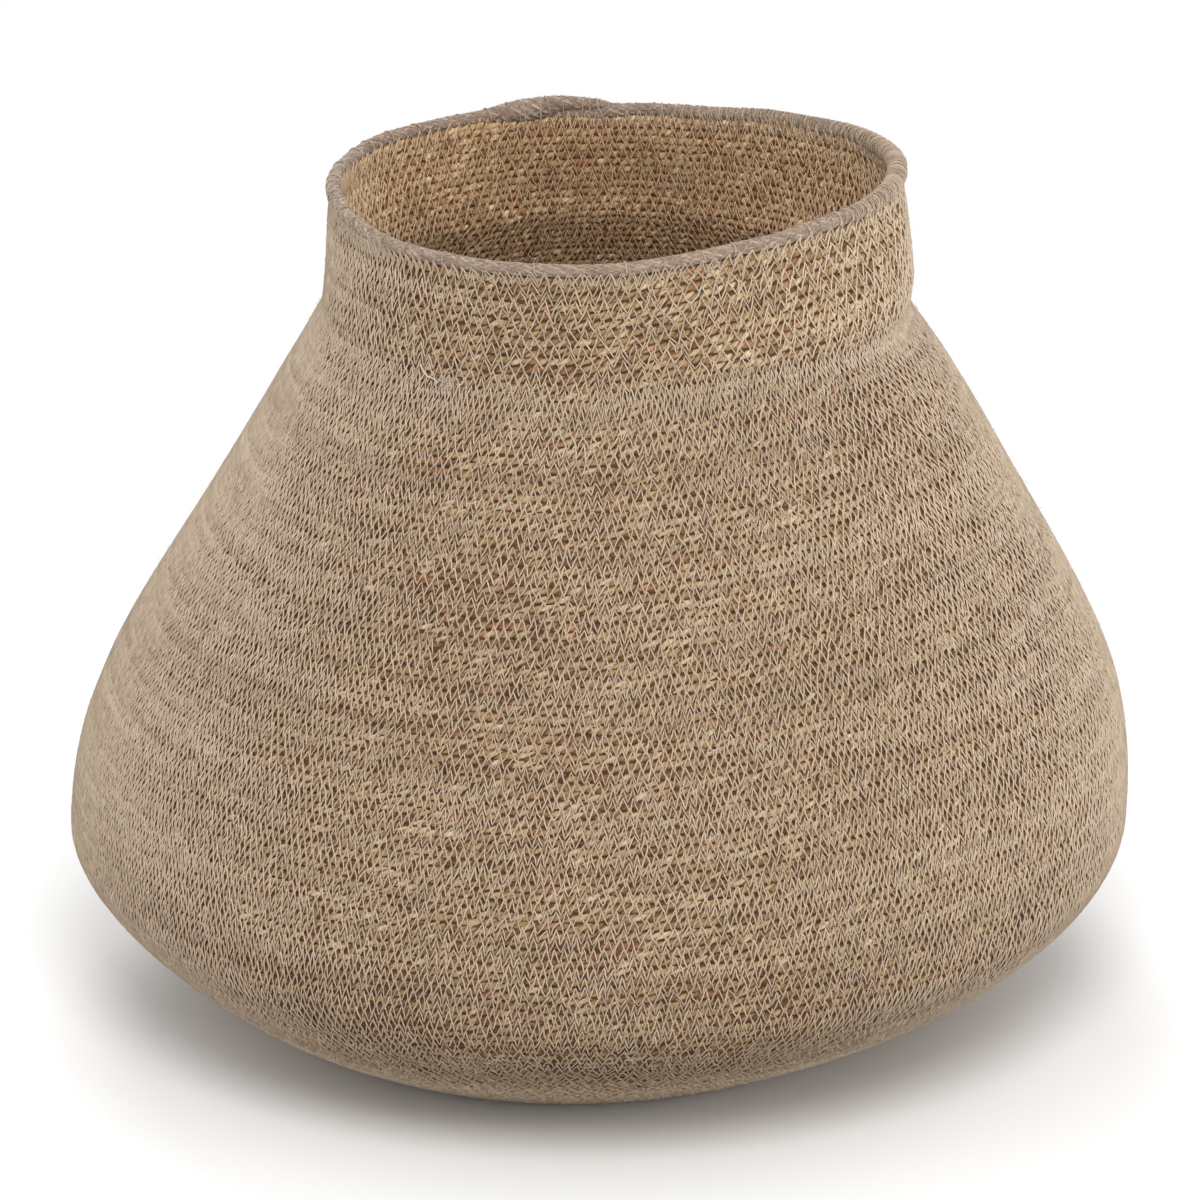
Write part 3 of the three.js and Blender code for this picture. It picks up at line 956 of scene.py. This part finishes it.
class Nodes:
    """A node tree, with short ways to add to it."""

    def __init__(self, tree):
        self.tree = tree

    def feed(self, socket, value):
        """Links another node's output to a socket, or sets the socket's value."""
        if isinstance(value, bpy.types.NodeSocket):
            self.tree.links.new(value, socket)
        else:
            socket.default_value = value

    def node(self, kind, *values, **named):
        """A node with its inputs fed in their order or by name."""
        made = self.tree.nodes.new(kind)
        for key, value in [*enumerate(values), *named.items()]:
            self.feed(made.inputs[key], value)
        return made

    def math(self, operation, a, b):
        made = self.node("ShaderNodeMath", a, b)
        made.operation = operation
        return made.outputs[0]

    def map_range(self, value, start, end, at_start=0.0, at_end=1.0, kind="LINEAR"):
        made = self.node("ShaderNodeMapRange", value, start, end, at_start, at_end)
        made.interpolation_type = kind
        return made.outputs["Result"]

    def seen(self):
        """1 for what the camera sees directly, in gloss or through glass."""
        path = self.node("ShaderNodeLightPath").outputs
        direct = self.math("MAXIMUM", path["Is Camera Ray"], path["Is Glossy Ray"])
        return self.math("MAXIMUM", direct, path["Is Transmission Ray"])


class Look(Nodes):
    """One procedural material, built node by node."""

    def __init__(self, name, roughness):
        self.material = bpy.data.materials.new(name)
        self.material.use_nodes = True
        super().__init__(self.material.node_tree)
        self.shader = self.tree.nodes["Principled BSDF"]
        self.shader.inputs["Roughness"].default_value = roughness
        self.shader.inputs["Specular IOR Level"].default_value = 0.25

    def attribute(self, name):
        made = self.tree.nodes.new("ShaderNodeAttribute")
        made.attribute_name = name
        return made.outputs["Vector" if name == "strand" else "Fac"]

    def noise(self, vector, scale, detail, stretch=(1, 1, 1)):
        mapped = self.node("ShaderNodeMapping", Vector=vector, Scale=stretch)
        made = self.node(
            "ShaderNodeTexNoise", Vector=mapped.outputs[0], Scale=scale, Detail=detail,
        )
        return made.outputs["Fac"]

    def weighed(self, a, share, b, other_share):
        """a times its share plus b times the other share."""
        parts = [self.math("MULTIPLY", a, share), self.math("MULTIPLY", b, other_share)]
        return self.math("ADD", *parts)

    def ramp(self, factor, *stops):
        made = self.node("ShaderNodeValToRGB", Fac=factor)
        elements = made.color_ramp.elements
        while len(elements) < len(stops):
            elements.new(0.5)
        for element, (position, colour) in zip(elements, stops):
            element.position = position
            element.color = colour
        return made.outputs["Color"]

    def mix(self, factor, a, b, blend="MIX"):
        made = self.tree.nodes.new("ShaderNodeMix")
        made.data_type = "RGBA"
        made.blend_type = blend
        for number, value in ((0, factor), (6, a), (7, b)):  # 6 and 7 take the two colours
            self.feed(made.inputs[number], value)
        return made.outputs[2]

    def finish(self, colour, height=None, strength=None, distance=None):
        """The finished material: its colour, and its bump where a height is given."""
        self.feed(self.shader.inputs["Base Color"], colour)
        if height is not None:
            bump = self.node(
                "ShaderNodeBump", Strength=strength, Distance=distance, Height=height,
            )
            self.feed(self.shader.inputs["Normal"], bump.outputs[0])
        return self.material


def make_grass(name, painted_light):
    look = Look(name, 0.62)
    strand = look.attribute("strand")
    tint = look.attribute("tint")
    fine = look.noise(strand, 1, 4, (2600, 260, 5000))
    broad = look.noise(strand, 1, 2, (850, 240, 5000))
    varied = look.math("ADD", look.attribute("tone"), look.math("SUBTRACT", broad, 0.5))
    colour = look.ramp(
        varied,
        (0.0, own_colour_and_painted_light(92, 67, 47, painted_light)), (0.25, own_colour_and_painted_light(140, 107, 76, painted_light)),
        (0.5, own_colour_and_painted_light(172, 140, 102, painted_light)), (0.75, own_colour_and_painted_light(201, 171, 130, painted_light)),
        (0.97, own_colour_and_painted_light(226, 203, 168, painted_light)),
    )
    red = look.math("LESS_THAN", tint, 0.2)
    green = look.math("GREATER_THAN", tint, 0.8)
    colour = look.mix(look.math("MULTIPLY", red, 0.45), colour, own_colour_and_painted_light(164, 108, 78, painted_light))
    colour = look.mix(look.math("MULTIPLY", green, 0.38), colour, own_colour_and_painted_light(166, 146, 98, painted_light))
    lines = look.ramp(fine, (0.3, (0.62, 0.58, 0.54, 1)), (0.62, (1.12, 1.11, 1.09, 1)))
    colour = look.mix(1.0, colour, lines, "MULTIPLY")
    # Painted shade: darker brown towards each strip's long edges, in the crevices between strips.
    edge = look.math("POWER", look.attribute("edge"), 3.2)
    colour = look.mix(look.math("MULTIPLY", edge, 0.72), colour, own_colour_and_painted_light(94, 64, 42, painted_light))
    return look.finish(colour, fine, 0.5, 0.15 * MM)


def make_core():
    look = Look("cord_core", 0.85)
    inner = look.attribute("tone")
    patches = look.noise(look.attribute("strand"), 1, 3, (300, 900, 1))
    outer_colour = look.ramp(patches, (0.3, own_colour_and_painted_light(86, 59, 39)), (0.7, own_colour_and_painted_light(134, 97, 66)))
    # The inner side of the core is painted paler, as painted light.
    inner_colour = look.ramp(
        patches, (0.3, own_colour_and_painted_light(112, 80, 54, INSIDE_PAINTED_LIGHT)), (0.7, own_colour_and_painted_light(152, 114, 80, INSIDE_PAINTED_LIGHT)),
    )
    colour = look.mix(inner, outer_colour, inner_colour)
    return look.finish(colour, patches, 0.6, 0.3 * MM)


def make_thread(name, dark, pale, painted_light=1.0):
    look = Look(name, 0.8)
    twist = look.noise(look.attribute("strand"), 1, 2, (1800, 900, 900))
    shade = look.weighed(look.attribute("tone"), 0.6, twist, 0.4)
    colour = look.ramp(shade, (0.1, own_colour_and_painted_light(*dark, painted_light)), (0.8, own_colour_and_painted_light(*pale, painted_light)))
    return look.finish(colour, twist, 0.5, 0.1 * MM)


def make_rim():
    look = Look("rim_jute", 0.9)
    fine = look.noise(look.attribute("strand"), 1, 4, (200, 2600, 900))
    shade = look.weighed(look.attribute("tone"), 0.14, fine, 0.86)
    colour = look.ramp(
        shade, (0.32, own_colour_and_painted_light(122, 100, 84)), (0.5, own_colour_and_painted_light(168, 145, 126)), (0.68, own_colour_and_painted_light(210, 190, 171)),
    )
    look.shader.inputs["Sheen Weight"].default_value = 0.2
    return look.finish(colour, fine, 1.0, 0.3 * MM)


# Looks of the outer (1) and inner (-1) face; the inner ones are painted paler, as painted light
grass_looks = {1: make_grass("grass_wraps", 1.0), -1: make_grass("grass_inside", INSIDE_PAINTED_LIGHT)}
thread_looks = {
    1: make_thread("sewing_thread", (180, 159, 136), (222, 201, 176)),
    -1: make_thread("thread_inside", (184, 156, 125), (215, 188, 155), INSIDE_PAINTED_LIGHT * 0.9),
}
core_look = make_core()
rim_look = make_rim()
rim_thread_look = make_thread("rim_thread", (164, 142, 121), (206, 185, 163))
fibre_look = make_thread("loose_fibres", (192, 173, 150), (226, 209, 187))
rim_fibre_look = make_thread("rim_fuzz", (150, 127, 108), (196, 175, 154))


# ---- The vase

def zones():
    """Name, solid and span of wall lengths of each zone, split to keep meshes small."""
    tops = [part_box(node)[1].z for node in WALL_NODES[:-1]]
    seams = [S_FOOT] + [s_at_height(top) for top in tops] + [S_NECK]
    for node, count, low, high in zip(WALL_NODES, WALL_PARTS, seams[:-1], seams[1:]):
        cuts = np.linspace(low, high, count + 1)
        for k in range(count):
            yield f"{node}_{k + 1}" if count > 1 else node, node, cuts[k], cuts[k + 1]


def build():
    foot = (["base_panel"], "foot_rows")
    core_piece("foot_core", FIRST_ROW, S_FOOT, *foot)
    wraps_piece("foot_wraps_under", FIRST_ROW, S_FOOT, 1, *foot, FOOT_WRAP_LENGTH, (3, 2))
    wraps_piece("foot_wraps_inside", FIRST_ROW, S_FOOT, -1, *foot, FOOT_WRAP_LENGTH, (3, 2))
    stitch_piece("foot_stitches_under", 2 * PITCH, S_FOOT, 1, *foot, 1.1)
    stitch_piece("foot_stitches_inside", 2 * PITCH, S_FOOT, -1, *foot, 1.3)
    for name, node, low, high in zones():
        core_piece(f"{name}_core", low, high, [node])
        wraps_piece(f"{name}_wraps", low, high, 1, [node])
        stitch_piece(f"{name}_stitches", low, high, 1, [node])
    deep = s_at_height(INSIDE_THREAD_HEIGHT)
    seams = [S_FOOT] + [s_at_height(height) for height in INSIDE_SEAM_HEIGHTS] + [deep]
    for node, low, high in zip(WALL_NODES, seams[:-1], seams[1:]):
        wraps_piece(
            f"{node}_wraps_inside", low, high, -1, [node], length=DEEP_WRAP_LENGTH,
            cells=(3, 1),
        )
    collar = (S_NECK, LAST_TURN * PITCH)
    core_piece("collar_core", *collar, ["neck_collar"])
    for name, face in (("", 1), ("_inside", -1)):
        wraps_piece(
            f"collar_wraps{name}", *collar, face, ["neck_collar"], length=COLLAR_WRAP_LENGTH,
        )
        stitch_piece(f"collar_stitches{name}", *collar, face, ["neck_collar"])
    upper = (deep, S_NECK, -1, ["shoulder_wall"])
    wraps_piece("shoulder_wraps_upper_inside", *upper, length=COLLAR_WRAP_LENGTH)
    stitch_piece("shoulder_stitches_inside", *upper)
    rim_braid()
    rim_stitches()
    rim_cover()
    wall_fibres(count=12000)
    rim_fibres(count=6000)
    loose_end()


# ---- Camera, light and floor

# The world's strength low down and high up, and the heights of a direction between them
HORIZON = 0.88
SKY = 0.8
HORIZON_TOP = 0.05
SKY_FROM = 0.2

PHOTO_PIXELS = 1200
PIXELS_PER_METRE = 2860
FOCAL_PIXELS = 9000
SENSOR_WIDTH = 36
CAMERA_ELEVATION = math.radians(20.38)
CAMERA_TARGET = Vector((-0.8 * MM, 0, 143.6 * MM))
LIGHT_TARGET = Vector((0, 0, 0.12))

LAMPS = (  # name, place, diameter and watts
    ("front", (0.15, -1.65, 1.85), 1.2, 31),
    ("right", (2.0, -0.7, 0.45), 1.0, 12.5),
    ("left", (-2.0, -0.7, 0.45), 1.0, 4),
    ("back", (-0.3, 1.8, 1.5), 1.2, 20),
)

# The floor, and the distances from its middle between which it turns white
FLOOR_HALF = 6
WHITE_FROM = 0.12
WHITE_TO = 0.45


def add_camera():
    camera = bpy.data.cameras.new("camera")
    camera.sensor_width = SENSOR_WIDTH
    camera.lens = SENSOR_WIDTH * FOCAL_PIXELS / PHOTO_PIXELS
    holder = link("camera", camera)
    distance = FOCAL_PIXELS / PIXELS_PER_METRE
    back = Vector((0, -math.cos(CAMERA_ELEVATION), math.sin(CAMERA_ELEVATION)))
    holder.location = CAMERA_TARGET + distance * back
    holder.rotation_euler = back.to_track_quat("Z", "Y").to_euler()
    bpy.context.scene.camera = holder


def add_light(name, location, size, power):
    light = bpy.data.lights.new(name, "AREA")
    light.shape = "DISK"
    light.size = size
    light.energy = power
    holder = link(name, light)
    holder.location = location
    back = Vector(location) - LIGHT_TARGET
    holder.rotation_euler = back.to_track_quat("Z", "Y").to_euler()


def add_floor():
    """A pale floor that keeps the vase's shadow and goes over into a white background."""
    mesh = bpy.data.meshes.new("floor")
    half = FLOOR_HALF
    corners = [(-half, -half, 0), (half, -half, 0), (half, half, 0), (-half, half, 0)]
    mesh.from_pydata(corners, [], [(0, 1, 2, 3)])
    look = Look("floor", 0.9)
    spot = look.node("ShaderNodeTexCoord").outputs["Object"]
    tone = look.noise(spot, 3.0, 2)
    pale = look.ramp(tone, (0.3, srgb(240, 240, 240)), (0.7, srgb(243, 243, 242)))
    in_sight = look.seen()
    look.finish(look.mix(in_sight, srgb(236, 236, 235), pale))
    away = look.node("ShaderNodeVectorMath", spot)
    away.operation = "LENGTH"
    far = look.map_range(away.outputs["Value"], WHITE_FROM, WHITE_TO, kind="SMOOTHSTEP")
    share = look.math("MULTIPLY", far, in_sight)
    white = look.node("ShaderNodeEmission", WHITE)
    both = look.node("ShaderNodeMixShader", share, look.shader.outputs[0], white.outputs[0])
    look.feed(look.tree.nodes["Material Output"].inputs["Surface"], both.outputs[0])
    mesh.materials.append(look.material)
    floor = link("floor", mesh)


def add_world():
    """White where it is seen; it lights the vase from the horizon more than from above."""
    world = bpy.data.worlds.new("studio")
    world.use_nodes = True
    nodes = Nodes(world.node_tree)
    direction = nodes.node("ShaderNodeTexCoord").outputs["Generated"]
    height = nodes.node("ShaderNodeSeparateXYZ", direction).outputs["Z"]
    light = nodes.map_range(height, HORIZON_TOP, SKY_FROM, HORIZON, SKY)
    background = nodes.tree.nodes["Background"].inputs
    nodes.feed(background["Color"], WHITE)
    nodes.feed(background["Strength"], nodes.math("MAXIMUM", light, nodes.seen()))
    bpy.context.scene.world = world


build()
add_world()
add_floor()
for lamp in LAMPS:
    add_light(*lamp)
add_camera()
bpy.context.scene.view_settings.view_transform = "Standard"
